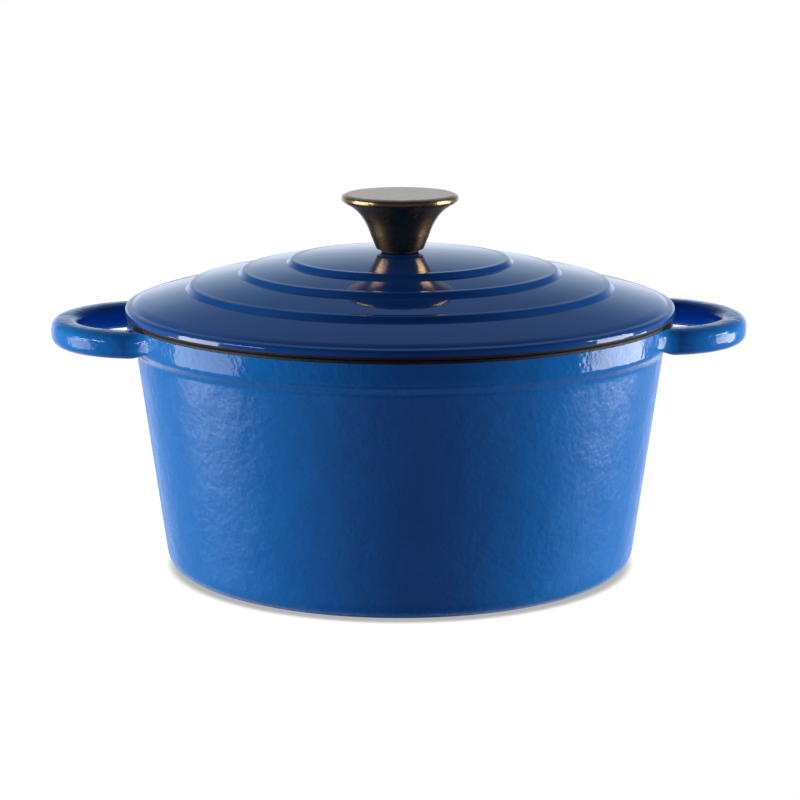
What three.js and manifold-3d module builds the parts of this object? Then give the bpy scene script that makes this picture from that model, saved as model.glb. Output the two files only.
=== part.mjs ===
// Round enamelled cast-iron casserole with a stepped dome lid.
//
// The pot is one casting with its two loop handles. The lid is a second casting that drops onto the pot's
// rim and is centred by a locating ring. A flared knob is held on the lid by one machine screw from below,
// with a gasket between knob and enamel, and a flat and a spring washer under the screw's head.
//
// Millimetres, +Z up. The origin is the centre of the base, on the surface that the pot stands on.
// The handles point along +X and -X.

import * as THREE from "three";
import { mergeVertices } from "three/addons/utils/BufferGeometryUtils.js";
import Module from "manifold-3d";

// ---------------------------------------------------------------- pot
const RIM_INNER_RADIUS = 120.5; // inside of the mouth: a nominal 24 cm pot
const RIM_WIDTH = 5.5; // flat top of the rim, from the mouth to the collar's outside
const POT_HEIGHT = 118.5;
const WALL_THICKNESS = 3.6;
const WALL_DRAFT = THREE.MathUtils.degToRad(7.7); // the wall narrows towards the base
const BASE_THICKNESS = 4.4;
const FOOT_CORNER_RADIUS = 9; // outside, where the wall turns under
const FLOOR_CORNER_RADIUS = 14; // inside, where the wall meets the floor
const RIM_EDGE_RADIUS = 1.2;
const FOOT_RING_WIDTH = 12; // the ring that the pot stands on
const FOOT_RECESS = 0.8; // the base inside that ring is raised by this
const FOOT_RECESS_SLOPE = 1.5;
const COLLAR_STEP_HEIGHT = 4.2; // the slope from the collar in to the wall
const COLLAR_STEP_RADIUS = 4;

// ---------------------------------------------------------------- handles, cast in one with the collar
const HANDLE_REACH = 35; // from the collar's outside to the tip
const HANDLE_HALF_SPAN = 50; // outside edge, across the root
const HANDLE_THICKNESS = 12;
const HANDLE_DROP = 1.7; // its top face lies below the rim by this
const HANDLE_EDGE_RADIUS = 3.6;
const HANDLE_TIP_WIDTH = 12.5; // width of the bar at the tip
const HANDLE_ROOT_WIDTH = 16.5; // width of the bar where it meets the collar
const HANDLE_CENTRE_INSET = 8; // the loop's ellipses are centred this far inside the collar
const HANDLE_ROOT_START = THREE.MathUtils.degToRad(80); // where the outside ellipse leaves the root fillet
const HANDLE_ROOT_LENGTH = 11; // the root fillet's length along the collar
const HOLE_CORNER_RADIUS = 6;

// ---------------------------------------------------------------- lid
const LID_OVERHANG = 1; // past the collar's outside
const LID_EDGE_THICKNESS = 3.9; // height of the lid at its outer edge
const LID_EDGE_RADIUS = 1.8;
const LID_LIP_CHAMFER = 0.6;
const LID_THICKNESS = 3.8;
const DOME_RADIUS = 460; // every terrace lies on a sphere of this radius
const STEP_INSETS = [30, 54.2, 76.5]; // top edge of each step, measured in from the lid's outer edge
const STEP_HEIGHT = 1.8;
const STEP_WIDTH = 1.8; // the plan width of a step's slope
const LOCATING_RING_CLEARANCE = 1.8; // radial play in the mouth
const LOCATING_RING_WIDTH = 3.6;
const LOCATING_RING_HEIGHT = 6.4;
const LOCATING_RING_EDGE_RADIUS = 0.8;
const SCREW_PAD_RADIUS = 13; // flat pad under the middle of the lid
const SCREW_PAD_DEPTH = 1.4; // it stands below the lid's inside by this

// ---------------------------------------------------------------- knob and its fastening
const KNOB_HEIGHT = 25.5;
const KNOB_TOP_RADIUS = 27.1;
const KNOB_TOP_DISH_RADIUS = 24.8; // flat top face inside the rounded edge
const KNOB_RIM_HEIGHT = 2.3; // from the widest circle down to the start of the flare
const KNOB_FLARE_DROP = 4; // from the top face down to where the flare meets the rim
const KNOB_WAIST_RADIUS = 13.7; // where the flare turns upright
const KNOB_WAIST_HEIGHT = 7;
const KNOB_FOOT_RADIUS = 10.9;
const KNOB_FOOT_CORNER_RADIUS = 0.8;
const GASKET_RADIUS = 8.8;
const GASKET_THICKNESS = 0.9;
const SCREW_RADIUS = 3; // M6
const SCREW_ENGAGEMENT = 10; // length of screw inside the knob
const SCREW_TIP_CHAMFER = 0.8;
const SCREW_HEAD_RADIUS = 5.8;
const SCREW_HEAD_HEIGHT = 3.4;
const RECESS_WIDTH = 1.3; // cross recess in the head
const RECESS_SPAN = 6.4;
const RECESS_DEPTH = 1.8;
const FLAT_WASHER_RADIUS = 8;
const FLAT_WASHER_THICKNESS = 1.2;
const SPRING_WASHER_RADIUS = 5.4;
const SPRING_WASHER_THICKNESS = 1.5;
const SPRING_WASHER_SLOT = 1.2;
const BORE_END_SPACE = 2; // depth of the knob's bore past the screw's tip

const GAP = 0.3; // between faces that touch on the real object
const SCREW_HOLE_CLEARANCE = 0.4; // radial, around the screw in the lid, washers and gasket
const ROUND_SEGMENTS = 64; // pot and lid
const SMALL_SEGMENTS = 40; // knob and fastening
const CURVE_STEPS = 9; // straight pieces in a curve of the handles' outline; an ellipse gets twice as many
const ARC_STEPS = 3; // straight pieces in a rounded corner
const WIDE_TERRACE = 25; // a terrace wider than this gets one more point in its middle
const FLARE_STEPS = 7; // straight pieces in the knob's flare
const KNOB_RIM_STEPS = 5; // straight pieces in the knob's rounded rim
const CUTTER_OVERRUN = 10; // how far a cutting body passes the face that it cuts through
const MERGE_DISTANCE = 1e-4; // corners closer than this are one corner

// ---------------------------------------------------------------- places worked out from the sizes
const COLLAR_RADIUS = RIM_INNER_RADIUS + RIM_WIDTH;
const HANDLE_TOP = POT_HEIGHT - HANDLE_DROP;
const HANDLE_BOTTOM = HANDLE_TOP - HANDLE_THICKNESS;
const LID_RADIUS = COLLAR_RADIUS + LID_OVERHANG;
const KNOB_FLARE_HEIGHT = KNOB_HEIGHT - KNOB_FLARE_DROP;
const LID_SEAT = POT_HEIGHT + GAP;
const LID_EDGE_TOP = LID_SEAT + LID_EDGE_THICKNESS;
const DOME_RISE = DOME_RADIUS - Math.sqrt(DOME_RADIUS ** 2 - LID_RADIUS ** 2);
const LID_APEX = LID_EDGE_TOP + DOME_RISE + STEP_INSETS.length * STEP_HEIGHT;
const STEP_RADII = STEP_INSETS.map((inset) => LID_RADIUS - inset).reverse();
const SCREW_HOLE_RADIUS = SCREW_RADIUS + SCREW_HOLE_CLEARANCE;
const PAD_FACE = LID_APEX - LID_THICKNESS - SCREW_PAD_DEPTH;
const FLAT_WASHER_TOP = PAD_FACE - GAP;
const SPRING_WASHER_TOP = FLAT_WASHER_TOP - FLAT_WASHER_THICKNESS - GAP;
const SCREW_HEAD_TOP = SPRING_WASHER_TOP - SPRING_WASHER_THICKNESS - GAP;
const GASKET_BOTTOM = LID_APEX + GAP;
const KNOB_FOOT = GASKET_BOTTOM + GASKET_THICKNESS + GAP;

// ---------------------------------------------------------------- shape helpers

// Outer and inner radius of the drafted wall at height z.
const innerWallRadius = (z) => RIM_INNER_RADIUS - (POT_HEIGHT - z) * Math.tan(WALL_DRAFT);
const outerWallRadius = (z) => innerWallRadius(z) + WALL_THICKNESS / Math.cos(WALL_DRAFT);

// A profile of straight edges whose corners [x, y, radius] are rounded by arcs that touch both edges.
function rounded(corners, steps = ARC_STEPS) {
  const points = [];
  corners.forEach(([x, y, radius = 0], i) => {
    const corner = new THREE.Vector2(x, y);
    if (!radius || i === 0 || i === corners.length - 1) {
      points.push(corner);
      return;
    }
    const back = new THREE.Vector2(corners[i - 1][0] - x, corners[i - 1][1] - y).normalize();
    const ahead = new THREE.Vector2(corners[i + 1][0] - x, corners[i + 1][1] - y).normalize();
    const half = back.angleTo(ahead) / 2;
    const middle = back.clone().add(ahead).setLength(radius / Math.sin(half)).add(corner);
    const start = corner.clone().addScaledVector(back, radius / Math.tan(half)).sub(middle);
    const turn = (Math.PI - 2 * half) * Math.sign(ahead.cross(back));
    for (let k = 0; k <= steps; k++) {
      points.push(start.clone().rotateAround(new THREE.Vector2(), (turn * k) / steps).add(middle));
    }
  });
  return points;
}

// A solid of revolution about Z from a profile of (radius, height) points, upwards on its outside.
function turned(points, segments = ROUND_SEGMENTS) {
  return new THREE.LatheGeometry(points, segments).rotateX(Math.PI / 2);
}

// The same, for a profile that goes round a hole and so closes on itself.
function turnedRing(points, segments = ROUND_SEGMENTS) {
  return turned([...points, points[0].clone()], segments);
}

// A flat ring with a hole for the screw.
function washer(radius, bottom, thickness) {
  return turnedRing(
    rounded([
      [SCREW_HOLE_RADIUS, bottom],
      [radius, bottom],
      [radius, bottom + thickness],
      [SCREW_HOLE_RADIUS, bottom + thickness],
    ]),
    SMALL_SEGMENTS,
  );
}

// ---------------------------------------------------------------- boolean cuts and joins

const wasm = await Module();
wasm.setup();

function toSolid(geometry) {
  const bare = geometry.clone();
  bare.deleteAttribute("normal");
  bare.deleteAttribute("uv");
  const merged = mergeVertices(bare, MERGE_DISTANCE);
  const index = merged.index.array;
  const triangles = [];
  for (let i = 0; i < index.length; i += 3) {
    const [a, b, c] = index.slice(i, i + 3);
    if (a !== b && b !== c && c !== a) triangles.push(a, b, c);
  }
  return new wasm.Manifold(
    new wasm.Mesh({
      numProp: 3,
      vertProperties: merged.attributes.position.array,
      triVerts: new Uint32Array(triangles),
    }),
  );
}

function toGeometry(solid) {
  const mesh = solid.getMesh();
  const geometry = new THREE.BufferGeometry();
  geometry.setAttribute("position", new THREE.BufferAttribute(mesh.vertProperties, 3));
  geometry.setIndex(new THREE.BufferAttribute(mesh.triVerts, 1));
  geometry.computeVertexNormals();
  return geometry;
}

// ---------------------------------------------------------------- pot casting

// The outside of the pot without its handles, as a filled solid.
function potOutside() {
  const footRadius = outerWallRadius(0);
  const recessRadius = footRadius - FOOT_CORNER_RADIUS - FOOT_RING_WIDTH;
  const stepTop = HANDLE_BOTTOM + COLLAR_STEP_HEIGHT / 2;
  const stepBottom = stepTop - COLLAR_STEP_HEIGHT;
  return turned(
    rounded([
      [0, FOOT_RECESS],
      [recessRadius, FOOT_RECESS],
      [recessRadius + FOOT_RECESS_SLOPE, 0],
      [footRadius, 0, FOOT_CORNER_RADIUS],
      [outerWallRadius(stepBottom), stepBottom, COLLAR_STEP_RADIUS],
      [COLLAR_RADIUS, stepTop, COLLAR_STEP_RADIUS],
      [COLLAR_RADIUS, POT_HEIGHT, RIM_EDGE_RADIUS],
      [0, POT_HEIGHT],
    ]),
  );
}

// What is cut out of it: the cooking space, wider above the rim so that the cut is clean.
function potCavity() {
  const above = POT_HEIGHT + CUTTER_OVERRUN;
  return turned(
    rounded([
      [0, BASE_THICKNESS],
      [innerWallRadius(BASE_THICKNESS), BASE_THICKNESS, FLOOR_CORNER_RADIUS],
      [innerWallRadius(POT_HEIGHT - RIM_EDGE_RADIUS), POT_HEIGHT - RIM_EDGE_RADIUS],
      [innerWallRadius(POT_HEIGHT) + RIM_EDGE_RADIUS / 2, POT_HEIGHT],
      [innerWallRadius(POT_HEIGHT) + RIM_EDGE_RADIUS / 2, above],
      [0, above],
    ]),
  );
}

// A point of the collar's outside, seen from above.
function onCollar(angle) {
  return new THREE.Vector2(Math.cos(angle), Math.sin(angle)).multiplyScalar(COLLAR_RADIUS);
}

// One loop handle seen from above: a bar between two ellipses whose ends run into the collar. The outside
// edge leaves the collar through a fillet, and the hole's two corners are rounded.
function handleOutline() {
  const centre = COLLAR_RADIUS - HANDLE_CENTRE_INSET;
  const length = HANDLE_REACH + HANDLE_CENTRE_INSET;
  const holeLength = length - HANDLE_TIP_WIDTH;
  const holeHalfSpan = HANDLE_HALF_SPAN - HANDLE_ROOT_WIDTH;
  const buried = COLLAR_RADIUS - RIM_WIDTH - HANDLE_EDGE_RADIUS;

  // Outside edge: a point on the ellipse, and the collar's tangent that meets its tangent there.
  const onEllipse = new THREE.Vector2(
    centre + length * Math.cos(HANDLE_ROOT_START),
    HANDLE_HALF_SPAN * Math.sin(HANDLE_ROOT_START),
  );
  const cornerAngle = Math.asin(HANDLE_HALF_SPAN / COLLAR_RADIUS);
  const rootAngle = cornerAngle + HANDLE_ROOT_LENGTH / COLLAR_RADIUS;
  const rootCorner = onCollar(cornerAngle);
  const rootEnd = onCollar(rootAngle);
  const buriedEnd = rootEnd.clone().setLength(buried);

  // Hole: the inner ellipse meets the collar at holeCorner, and a curve rounds that corner off.
  const holeAngle = Math.asin(holeHalfSpan / COLLAR_RADIUS);
  const holeCorner = onCollar(holeAngle);
  const holeOnCollar = onCollar(holeAngle - HOLE_CORNER_RADIUS / COLLAR_RADIUS);
  const holeStart = Math.acos((holeCorner.x + HOLE_CORNER_RADIUS - centre) / holeLength);
  const holeBuried = holeOnCollar.clone().setLength(buried);

  const shape = new THREE.Shape();
  shape.moveTo(buriedEnd.x, -buriedEnd.y);
  shape.lineTo(rootEnd.x, -rootEnd.y);
  shape.quadraticCurveTo(rootCorner.x, -rootCorner.y, onEllipse.x, -onEllipse.y);
  shape.absellipse(centre, 0, length, HANDLE_HALF_SPAN, -HANDLE_ROOT_START, HANDLE_ROOT_START, false);
  shape.quadraticCurveTo(rootCorner.x, rootCorner.y, rootEnd.x, rootEnd.y);
  shape.lineTo(buriedEnd.x, buriedEnd.y);
  shape.lineTo(holeBuried.x, holeBuried.y);
  shape.lineTo(holeOnCollar.x, holeOnCollar.y);
  shape.quadraticCurveTo(
    holeCorner.x,
    holeCorner.y,
    centre + holeLength * Math.cos(holeStart),
    holeHalfSpan * Math.sin(holeStart),
  );
  shape.absellipse(centre, 0, holeLength, holeHalfSpan, holeStart, -holeStart, true);
  shape.quadraticCurveTo(holeCorner.x, -holeCorner.y, holeOnCollar.x, -holeOnCollar.y);
  shape.lineTo(holeBuried.x, -holeBuried.y);
  return shape;
}

// The outline given its thickness, with rounded edges above and below.
function handleGeometry() {
  return new THREE.ExtrudeGeometry(handleOutline(), {
    depth: HANDLE_THICKNESS - 2 * HANDLE_EDGE_RADIUS,
    bevelThickness: HANDLE_EDGE_RADIUS,
    bevelSize: HANDLE_EDGE_RADIUS,
    bevelOffset: -HANDLE_EDGE_RADIUS,
    bevelSegments: ARC_STEPS,
    curveSegments: CURVE_STEPS,
  }).translate(0, 0, HANDLE_BOTTOM + HANDLE_EDGE_RADIUS);
}

function potCasting() {
  const right = toSolid(handleGeometry());
  const left = toSolid(handleGeometry().rotateZ(Math.PI));
  return toGeometry(toSolid(potOutside()).add(right).add(left).subtract(toSolid(potCavity())));
}

// ---------------------------------------------------------------- lid casting

// Height of the lid's outside at a radius: a sphere, lowered by each step that lies inside that radius.
function domeHeight(radius) {
  const steps = STEP_RADII.reduce(
    (sum, edge) => sum + THREE.MathUtils.clamp((radius - edge) / STEP_WIDTH, 0, 1),
    0,
  );
  return LID_APEX - (DOME_RADIUS - Math.sqrt(DOME_RADIUS ** 2 - radius ** 2)) - steps * STEP_HEIGHT;
}

// Radii at which the stepped dome is sampled between two limits: both ends of each step, and the middle of
// a wide terrace.
function domeRadii(from, to) {
  const edges = STEP_RADII.flatMap((edge) => [edge, edge + STEP_WIDTH]);
  const stops = [from, ...edges.filter((radius) => radius > from && radius < to), to];
  return stops.flatMap((radius, i) =>
    i > 0 && radius - stops[i - 1] > WIDE_TERRACE ? [(stops[i - 1] + radius) / 2, radius] : [radius],
  );
}

function lidCasting() {
  const ringOutside = innerWallRadius(LID_SEAT - LOCATING_RING_HEIGHT) - LOCATING_RING_CLEARANCE;
  const ringInside = ringOutside - LOCATING_RING_WIDTH;
  const ringBottom = LID_SEAT - LOCATING_RING_HEIGHT;
  const insideHeight = (radius) => domeHeight(radius) - LID_THICKNESS;
  const top = domeRadii(SCREW_HOLE_RADIUS, LID_RADIUS - LID_EDGE_RADIUS)
    .map((radius) => new THREE.Vector2(radius, domeHeight(radius)))
    .reverse();
  const edge = rounded([
    [ringOutside, LID_SEAT],
    [LID_RADIUS - LID_LIP_CHAMFER, LID_SEAT],
    [LID_RADIUS, LID_SEAT + LID_LIP_CHAMFER],
    [LID_RADIUS, LID_EDGE_TOP, LID_EDGE_RADIUS],
    [LID_RADIUS - LID_EDGE_RADIUS * 2, domeHeight(LID_RADIUS - LID_EDGE_RADIUS * 2)],
  ]).slice(0, -1);
  const ring = rounded([
    [ringInside, insideHeight(ringInside)],
    [ringInside, ringBottom, LOCATING_RING_EDGE_RADIUS],
    [ringOutside, ringBottom, LOCATING_RING_EDGE_RADIUS],
    [ringOutside, LID_SEAT],
  ]);
  const inside = domeRadii(SCREW_PAD_RADIUS, ringInside)
    .slice(0, -1)
    .map((radius) => new THREE.Vector2(radius, insideHeight(radius)));
  const pad = [
    new THREE.Vector2(SCREW_HOLE_RADIUS, PAD_FACE),
    new THREE.Vector2(SCREW_PAD_RADIUS - SCREW_PAD_DEPTH, PAD_FACE),
  ];
  return turnedRing([...pad, ...inside, ...ring.slice(0, -1), ...edge, ...top.slice(1)]);
}

// ---------------------------------------------------------------- knob

// A flared knob: small rounded foot, upright waist, a flare that sweeps out to the rim, and a flat top.
function knobGeometry() {
  const at = (radius, height) => new THREE.Vector2(radius, KNOB_FOOT + height);
  const rimMiddle = KNOB_HEIGHT - KNOB_RIM_HEIGHT / 2;
  const foot = rounded([
    [0, KNOB_FOOT],
    [KNOB_FOOT_RADIUS, KNOB_FOOT, KNOB_FOOT_CORNER_RADIUS],
    [KNOB_WAIST_RADIUS, KNOB_FOOT + KNOB_WAIST_HEIGHT],
  ]).slice(0, -1);
  const flare = new THREE.CubicBezierCurve(
    at(KNOB_WAIST_RADIUS, KNOB_WAIST_HEIGHT),
    at(KNOB_WAIST_RADIUS + (KNOB_WAIST_RADIUS - KNOB_FOOT_RADIUS), KNOB_WAIST_HEIGHT * 2),
    at((KNOB_WAIST_RADIUS + KNOB_TOP_RADIUS) / 2, KNOB_HEIGHT - 3 * KNOB_RIM_HEIGHT),
    at(KNOB_TOP_RADIUS - KNOB_RIM_HEIGHT / 2, KNOB_FLARE_HEIGHT),
  ).getPoints(FLARE_STEPS);
  const rim = new THREE.SplineCurve([
    at(KNOB_TOP_RADIUS - KNOB_RIM_HEIGHT / 2, KNOB_FLARE_HEIGHT),
    at(KNOB_TOP_RADIUS, rimMiddle - KNOB_RIM_HEIGHT / 4),
    at(KNOB_TOP_DISH_RADIUS, KNOB_HEIGHT),
  ]).getPoints(KNOB_RIM_STEPS);
  const body = turned([...foot, ...flare, ...rim.slice(1), at(0, KNOB_HEIGHT)], SMALL_SEGMENTS);
  const boreRadius = SCREW_RADIUS + GAP;
  const boreEnd = KNOB_FOOT + SCREW_ENGAGEMENT + BORE_END_SPACE;
  const bore = turned(
    [
      new THREE.Vector2(0, KNOB_FOOT - CUTTER_OVERRUN),
      new THREE.Vector2(boreRadius, KNOB_FOOT - CUTTER_OVERRUN),
      new THREE.Vector2(boreRadius, boreEnd),
      new THREE.Vector2(0, boreEnd),
    ],
    SMALL_SEGMENTS,
  );
  return toGeometry(toSolid(body).subtract(toSolid(bore)));
}

// ---------------------------------------------------------------- screw and spring washer

// A pan-head machine screw, head down, with a cross recess.
function screwGeometry() {
  const headBottom = SCREW_HEAD_TOP - SCREW_HEAD_HEIGHT;
  const tip = KNOB_FOOT + SCREW_ENGAGEMENT;
  const body = turned(
    rounded([
      [0, headBottom],
      [SCREW_HEAD_RADIUS, headBottom, SCREW_HEAD_HEIGHT / 2],
      [SCREW_HEAD_RADIUS, SCREW_HEAD_TOP],
      [SCREW_RADIUS, SCREW_HEAD_TOP],
      [SCREW_RADIUS, tip - SCREW_TIP_CHAMFER],
      [SCREW_RADIUS - SCREW_TIP_CHAMFER, tip],
      [0, tip],
    ]),
    SMALL_SEGMENTS,
  );
  const slot = new THREE.BoxGeometry(RECESS_SPAN, RECESS_WIDTH, 2 * RECESS_DEPTH);
  slot.translate(0, 0, headBottom);
  const across = toSolid(slot.clone().rotateZ(Math.PI / 2));
  return toGeometry(toSolid(body).subtract(toSolid(slot).add(across)));
}

// A split ring, as it lies when the screw has pulled it flat.
function springWasherGeometry() {
  const slotAngle = SPRING_WASHER_SLOT / SPRING_WASHER_RADIUS / 2;
  const shape = new THREE.Shape();
  shape.absarc(0, 0, SPRING_WASHER_RADIUS, slotAngle, 2 * Math.PI - slotAngle, false);
  shape.absarc(0, 0, SCREW_HOLE_RADIUS, 2 * Math.PI - slotAngle, slotAngle, true);
  return new THREE.ExtrudeGeometry(shape, {
    depth: SPRING_WASHER_THICKNESS,
    bevelEnabled: false,
    curveSegments: SMALL_SEGMENTS / 2,
  }).translate(0, 0, SPRING_WASHER_TOP - SPRING_WASHER_THICKNESS);
}

// ---------------------------------------------------------------- assembly

const blueEnamel = new THREE.MeshStandardMaterial({ color: 0x14429a, roughness: 0.15, metalness: 0 });
const lidEnamel = new THREE.MeshStandardMaterial({ color: 0x10357f, roughness: 0.08, metalness: 0 });
const agedBrass = new THREE.MeshStandardMaterial({ color: 0x9c7a45, roughness: 0.3, metalness: 1 });
const blackRubber = new THREE.MeshStandardMaterial({ color: 0x141414, roughness: 0.7, metalness: 0 });
const stainless = new THREE.MeshStandardMaterial({ color: 0xb8b8ba, roughness: 0.3, metalness: 1 });

function named(name, geometry, material) {
  const mesh = new THREE.Mesh(geometry, material);
  mesh.name = name;
  return mesh;
}

const pot = new THREE.Group();
pot.add(named("pot_casting", potCasting(), blueEnamel));

const lid = new THREE.Group();
lid.add(
  named("lid_casting", lidCasting(), lidEnamel),
  named("knob", knobGeometry(), agedBrass),
  named("knob_gasket", washer(GASKET_RADIUS, GASKET_BOTTOM, GASKET_THICKNESS), blackRubber),
  named("knob_screw", screwGeometry(), stainless),
  named("spring_washer", springWasherGeometry(), stainless),
  named(
    "flat_washer",
    washer(FLAT_WASHER_RADIUS, FLAT_WASHER_TOP - FLAT_WASHER_THICKNESS, FLAT_WASHER_THICKNESS),
    stainless,
  ),
);

const casserole = new THREE.Group();
casserole.add(pot, lid);

export default casserole;
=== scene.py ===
"""The looks of a round enamelled cast-iron casserole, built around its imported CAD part.

Metres, +Z up, the pot standing on z = 0 with its handles along X. Every piece is a surface worked out with
numpy: a profile turned about Z, or a section carried along a handle's loop.
"""

import math

import bpy
import numpy as np
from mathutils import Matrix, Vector


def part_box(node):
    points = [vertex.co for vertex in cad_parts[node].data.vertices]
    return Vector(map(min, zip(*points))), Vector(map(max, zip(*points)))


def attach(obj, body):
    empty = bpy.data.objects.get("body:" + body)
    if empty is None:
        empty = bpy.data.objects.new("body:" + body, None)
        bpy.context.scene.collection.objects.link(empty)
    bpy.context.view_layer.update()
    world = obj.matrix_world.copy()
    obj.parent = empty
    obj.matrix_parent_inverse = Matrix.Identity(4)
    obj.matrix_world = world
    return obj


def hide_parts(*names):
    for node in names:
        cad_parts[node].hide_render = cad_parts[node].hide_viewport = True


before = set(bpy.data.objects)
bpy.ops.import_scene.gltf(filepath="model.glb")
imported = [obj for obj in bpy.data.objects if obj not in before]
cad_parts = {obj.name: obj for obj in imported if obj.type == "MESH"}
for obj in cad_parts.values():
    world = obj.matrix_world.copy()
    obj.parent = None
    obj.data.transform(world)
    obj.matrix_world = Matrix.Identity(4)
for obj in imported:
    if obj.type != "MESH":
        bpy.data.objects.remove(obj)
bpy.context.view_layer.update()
MM = 0.001

# ---------------------------------------------------------------- sizes
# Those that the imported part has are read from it.
_, POT_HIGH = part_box("pot_casting")
LID_LOW, LID_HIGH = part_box("lid_casting")
KNOB_LOW, KNOB_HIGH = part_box("knob")
GASKET_LOW, GASKET_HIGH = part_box("knob_gasket")
FLAT_LOW, FLAT_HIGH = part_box("flat_washer")
SPRING_LOW, SPRING_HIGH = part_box("spring_washer")
SCREW_LOW, SCREW_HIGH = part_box("knob_screw")

FIT_GAP = 0.3 * MM  # between faces that touch on the real object

POT_HEIGHT = POT_HIGH.z
COLLAR_RADIUS = POT_HIGH.y
HANDLE_REACH = POT_HIGH.x - COLLAR_RADIUS
RIM_WIDTH = 5.5 * MM
MOUTH_RADIUS = COLLAR_RADIUS - RIM_WIDTH
WALL_DRAFT = math.radians(7.7)
WALL_THICKNESS = 3.6 * MM / math.cos(WALL_DRAFT)
BASE_THICKNESS = 4.4 * MM
FLOOR_CORNER_RADIUS = 14 * MM  # inside, where the wall meets the floor
FOOT_CORNER_RADIUS = 9 * MM  # outside, where the wall turns under
FOOT_RECESS_INSET = 21 * MM  # from the wall's line in to the raised middle of the base
FOOT_RECESS = 0.8 * MM  # that middle is raised by this
FOOT_RECESS_SLOPE = 1.5 * MM
COLLAR_STEP_HEIGHT = 4.2 * MM  # the slope from the collar in to the wall
COLLAR_STEP_RISE = 2.1 * MM  # that slope starts above the handles' underside by this
RIM_EDGE_RADIUS = 0.9 * MM
RIM_BAND = 1.5 * MM  # height of the black band under the rim's top: bare iron at the top, and painted shade under the lid's edge in its lower part
RIM_BAND_INSIDE = 4 * MM
FOOT_BAND = 0.7 * MM  # the foot ring is bare up to this height
RIM_INSET = 0.2 * MM  # the bare iron stands back from the enamel by this

HANDLE_THICKNESS = 12 * MM
HANDLE_DROP = 1.7 * MM  # the top face lies below the rim by this
HANDLE_TOP = POT_HEIGHT - HANDLE_DROP
HANDLE_BOTTOM = HANDLE_TOP - HANDLE_THICKNESS
HANDLE_CENTRE_INSET = 8 * MM  # the loop's ellipses are centred this far inside the collar
HANDLE_HALF_SPAN = 50 * MM
HANDLE_TIP_WIDTH = 12.5 * MM
HANDLE_ROOT_WIDTH = 16.5 * MM
HANDLE_ROOT_LENGTH = 11 * MM  # the root fillet's length along the collar
HANDLE_ROOT_START = math.radians(80)  # where the outside ellipse leaves the root fillet
HANDLE_BURIED = 3.4 * MM  # the loop's ends reach into the collar by this
HOLE_CORNER_RADIUS = 6 * MM
TOP_FILLET_RISE, TOP_FILLET_REACH = 1.2 * MM, 3 * MM
UNDER_FILLET_RISE, UNDER_FILLET_REACH = 2.6 * MM, 5 * MM

LID_RADIUS = LID_HIGH.y
LID_SEAT = POT_HEIGHT + FIT_GAP
LID_EDGE_THICKNESS = 3.9 * MM
LID_EDGE_TOP = LID_SEAT + LID_EDGE_THICKNESS
LID_THICKNESS = 3.8 * MM
LID_BARE_AND_SHADE = 1.2 * MM  # the lid's edge is black up to this height above its seat: bare iron at the seat, painted shade on the edge above it
DOME_RADIUS = 460 * MM
# The top edge of each step lies this far in from the lid's edge.
STEP_RADII = [LID_RADIUS - inset * MM for inset in (76.5, 54.2, 30)]
STEP_HEIGHT = 1.8 * MM
STEP_WIDTH = 1.8 * MM
FOOT_REACH = 0.9 * MM  # the rounding at the foot of a step ends within this
LIP_WIDTH = 2.6 * MM  # the enamel's soft swelling before each step
LIP_HEIGHT = 0.22 * MM
LIP_ROUND = 1.9 * MM
TERRACE_SPACING = 3 * MM  # between the points along a terrace
BRIM_WIDTH = 5.5 * MM  # the dome turns down to the edge over this
BRIM_DROP = 1.05 * MM
LOCATING_RING_CLEARANCE = 1.8 * MM
LOCATING_RING_WIDTH = 3.6 * MM
BARE_RING_REACH = 5.6 * MM  # the bare iron ends this far in from the mouth
SCREW_PAD_RADIUS = 13 * MM
SCREW_PAD_FLAT = 11.6 * MM

KNOB_FOOT_RADIUS = 10.9 * MM
KNOB_FOOT_ROUND = 0.8 * MM
KNOB_BORE_RADIUS = 3.3 * MM
BORE_END_SPACE = 2 * MM  # depth of the bore past the screw's tip
KNOB_TOP_INSET = 6 * MM  # the rolled rim ends within this
KNOB_TOP_ZONE = 0.25 * MM  # faces within this of the top are the turned top

SCREW_RADIUS = 3 * MM
SCREW_HOLE_RADIUS = 3.4 * MM
SCREW_TIP_RADIUS = 2.2 * MM
SCREW_TIP_CHAMFER = 0.8 * MM
SCREW_HEAD_ROUND = 1.5 * MM
THREAD_PITCH = MM
THREAD_SWING = 0.16 * MM  # half of the thread's depth
RECESS_DEPTH = 1.7 * MM
RECESS_HALF_SPAN = 3.2 * MM
RECESS_HALF_WIDTH = 0.6 * MM
RECESS_SOFTNESS = 0.06 * MM
RECESS_ZONE = 3.8 * MM  # no part of the recess lies outside this radius
SPRING_RISE = 0.25 * MM  # from one end of the split to the other
SPRING_SPLIT = 0.13  # half of the split, in radians

ROUND = 256  # segments in the large turned pieces
SMALL_ROUND = 128
SCREW_ROUND = 192
CURVE_POINTS = 80  # along an ellipse of a handle
ROOT_POINTS = 24  # along a handle's root fillet
LOOP_SECTIONS = 110  # sections in half a handle
SECTION_POINTS = 64
SECTION_POWER = 2.9  # how square a handle's section is
LONGEST = 2.5 * MM  # longest straight piece of a large profile


# ---------------------------------------------------------------- shapes


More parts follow.
